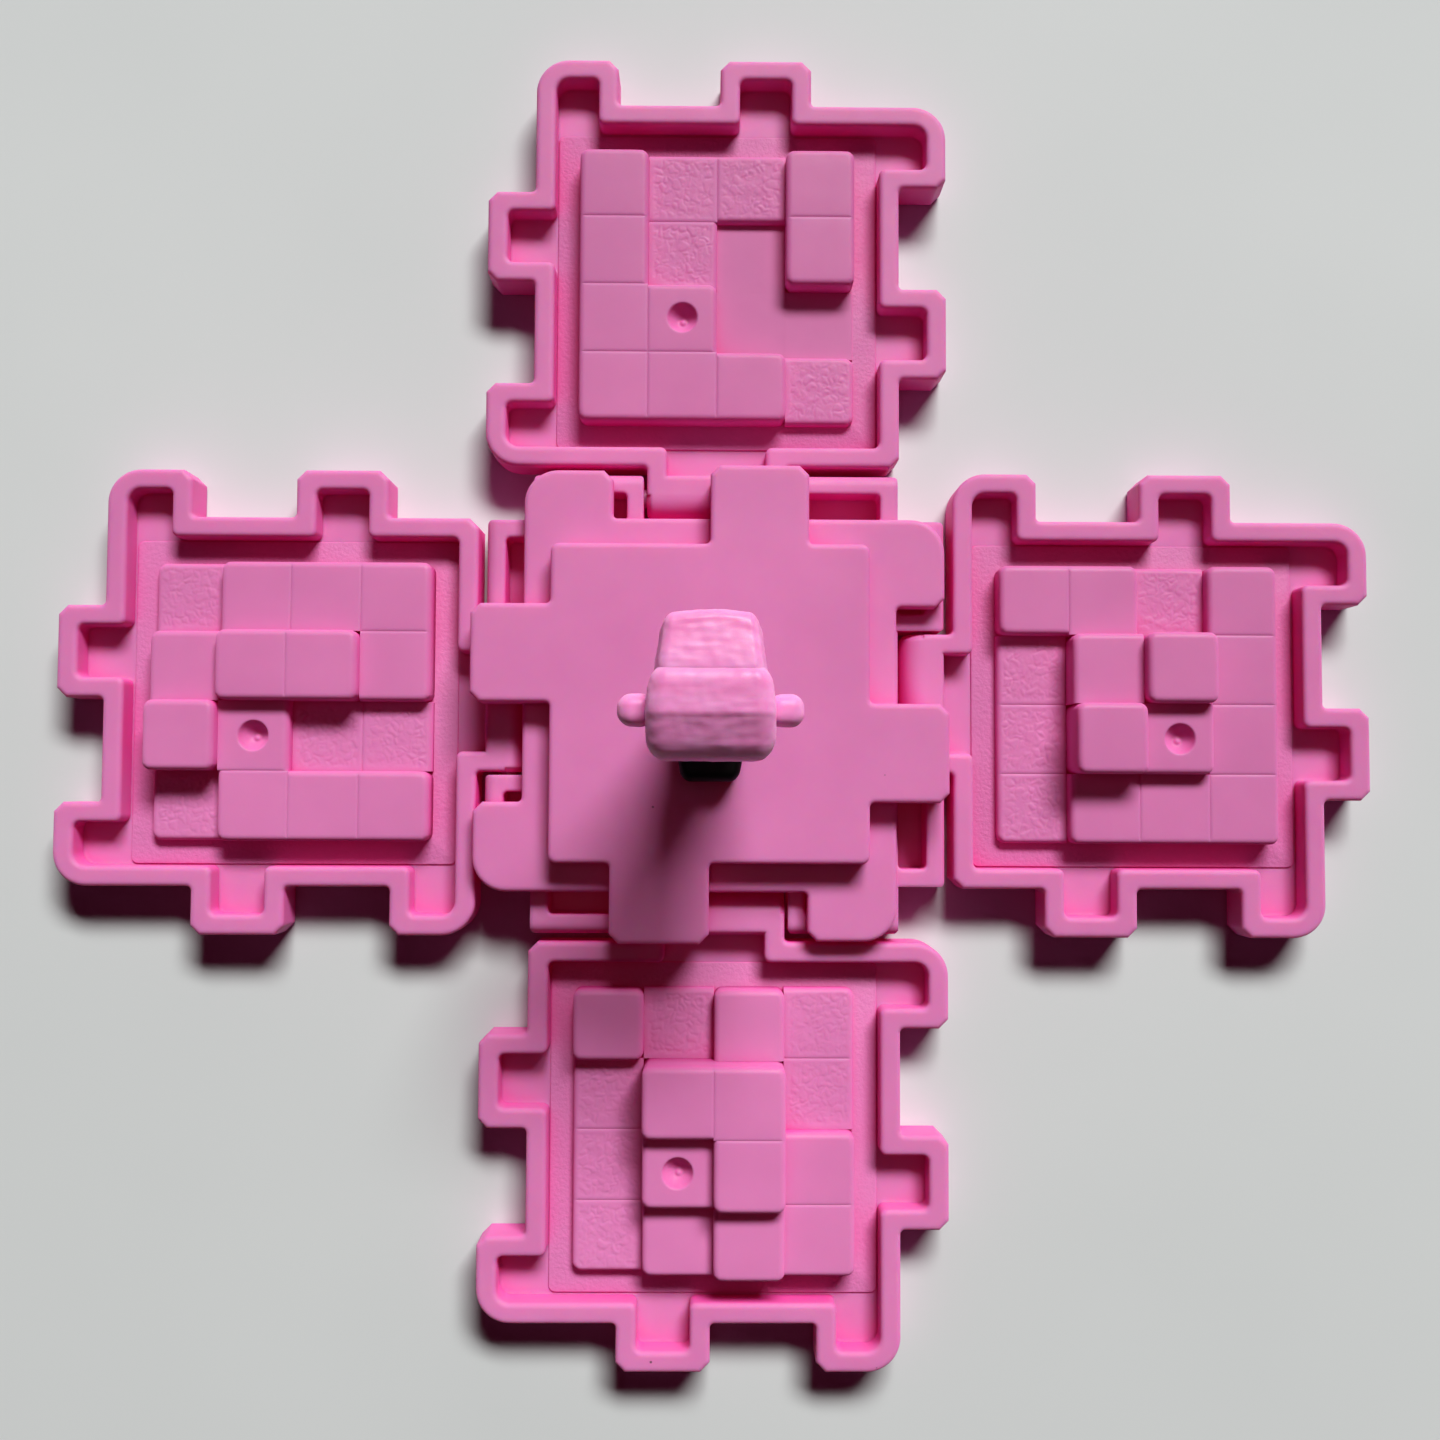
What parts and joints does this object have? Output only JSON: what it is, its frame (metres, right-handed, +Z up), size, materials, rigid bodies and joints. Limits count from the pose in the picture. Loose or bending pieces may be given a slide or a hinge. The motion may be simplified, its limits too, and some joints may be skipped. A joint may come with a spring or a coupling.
{
  "type": "puzzle cube fidget toy",
  "caption": "Cube of jigsaw-edged faces opened flat as a cross: tray walls with stepped tile reliefs hinged to a base, a loose lid plate and a small blocky figure standing on it.",
  "frame": {"origin": "centre of the base tray's underside, on the surface the opened cube lies on", "axes": "+Z up out of the base, +Y towards the north wall, +X towards the east wall; the cube lies open flat as a cross"},
  "size_m": [0.1412, 0.1412, 0.042],
  "materials": {
    "pink_plastic": "satin injection-moulded plastic, slightly translucent",
    "pink_relief": "satin moulded relief: fine-grained floor, leather-grained low tiles, smooth high tiles",
    "pin_plastic": "smooth moulded pin",
    "figure_pink": "satin pink with a brushed, carved surface",
    "figure_black": "smooth black plastic"
  },
  "bodies": {
    "base": {"base_tray": "pink_plastic", "hinge_pin_north": "pin_plastic", "hinge_pin_east": "pin_plastic", "hinge_pin_south": "pin_plastic", "hinge_pin_west": "pin_plastic"},
    "wall_north": {"wall_panel_north": "pink_plastic", "terrain_plate_north": "pink_relief"},
    "wall_east": {"wall_panel_east": "pink_plastic", "terrain_plate_east": "pink_relief"},
    "wall_south": {"wall_panel_south": "pink_plastic", "terrain_plate_south": "pink_relief"},
    "wall_west": {"wall_panel_west": "pink_plastic", "terrain_plate_west": "pink_relief"},
    "lid": {"lid_plate": "pink_plastic"},
    "figure": {"figure_foot": "figure_black", "figure_legs": "figure_pink", "figure_torso": "figure_pink", "figure_head": "figure_pink", "figure_muzzle": "figure_pink", "figure_ear_west": "figure_pink", "figure_ear_east": "figure_pink"}
  },
  "joints": [
    {"name": "lid_lift", "type": "slide", "parent": "base", "child": "lid", "axis": [0, 0, 1], "range_m": [0, 0.06]},
    {"name": "figure_lift", "type": "slide", "parent": "lid", "child": "figure", "axis": [0, 0, 1], "range_m": [0, 0.03]},
    {"name": "wall_hinge_north", "type": "hinge", "parent": "base", "child": "wall_north", "pos_m": [0, 0.0225, 0.0025], "axis": [1, 0, 0], "range_deg": [0, 90]},
    {"name": "wall_hinge_east", "type": "hinge", "parent": "base", "child": "wall_east", "pos_m": [0.0225, 0, 0.0025], "axis": [0, -1, 0], "range_deg": [0, 90]},
    {"name": "wall_hinge_south", "type": "hinge", "parent": "base", "child": "wall_south", "pos_m": [0, -0.0225, 0.0025], "axis": [-1, 0, 0], "range_deg": [0, 90]},
    {"name": "wall_hinge_west", "type": "hinge", "parent": "base", "child": "wall_west", "pos_m": [-0.0225, 0, 0.0025], "axis": [0, 1, 0], "range_deg": [0, 90]}
  ],
  "couplings": [
    {"joint": "wall_hinge_north", "follows": "lid_lift", "rad_per_m": 26.17},
    {"joint": "wall_hinge_east", "follows": "lid_lift", "rad_per_m": 26.17},
    {"joint": "wall_hinge_south", "follows": "lid_lift", "rad_per_m": 26.17},
    {"joint": "wall_hinge_west", "follows": "lid_lift", "rad_per_m": 26.17}
  ]
}
